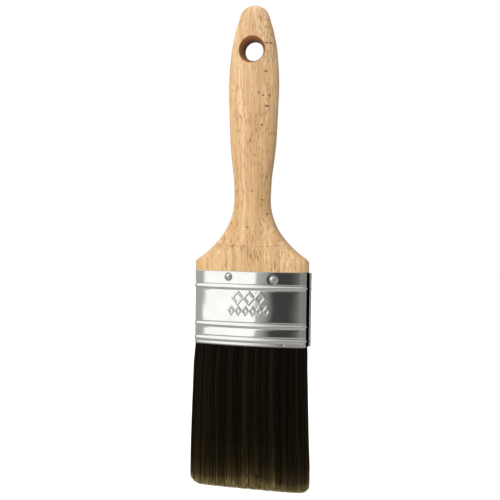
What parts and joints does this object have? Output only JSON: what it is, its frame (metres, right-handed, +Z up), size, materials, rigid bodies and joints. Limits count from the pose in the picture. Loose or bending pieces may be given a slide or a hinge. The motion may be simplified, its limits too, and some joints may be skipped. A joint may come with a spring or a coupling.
{
  "type": "paint brush",
  "caption": "Flat paint brush with a shaped beech handle and hang hole, a beaded steel ferrule, and filament banks set in resin round spacer plugs.",
  "frame": {"origin": "centre of the hang hole, half way through the handle", "axes": "+Z up the handle, away from the filaments; +X across the width; -Y is the front"},
  "size_m": [0.0676, 0.0164, 0.2632],
  "materials": {
    "beech": "sanded beech with fine vertical flecks",
    "ferrule_steel": "bright rolled steel sheet",
    "nail_steel": "domed and polished",
    "resin": "cast amber resin",
    "plug_wood": "sawn softwood",
    "filament": "tapered synthetic filament, dark brown with paler split tips"
  },
  "bodies": {
    "brush": {"handle": "beech", "ferrule": "ferrule_steel", "nail_front_left": "nail_steel", "nail_front_right": "nail_steel", "nail_rear_left": "nail_steel", "nail_rear_right": "nail_steel", "resin_block": "resin", "spacer_plug_front": "plug_wood", "spacer_plug_rear": "plug_wood", "filament_roots_front": "filament", "filament_roots_middle": "filament", "filament_roots_rear": "filament"},
    "tuft": {"filament_bank_front": "filament", "filament_bank_middle": "filament", "filament_bank_rear": "filament"}
  },
  "joints": [
    {"name": "tuft_bend", "type": "hinge", "parent": "brush", "child": "tuft", "pos_m": [0, 0, -0.1695], "axis": [1, 0, 0], "range_deg": [-30, 30], "stiffness_Nm_per_rad": 0.5}
  ]
}
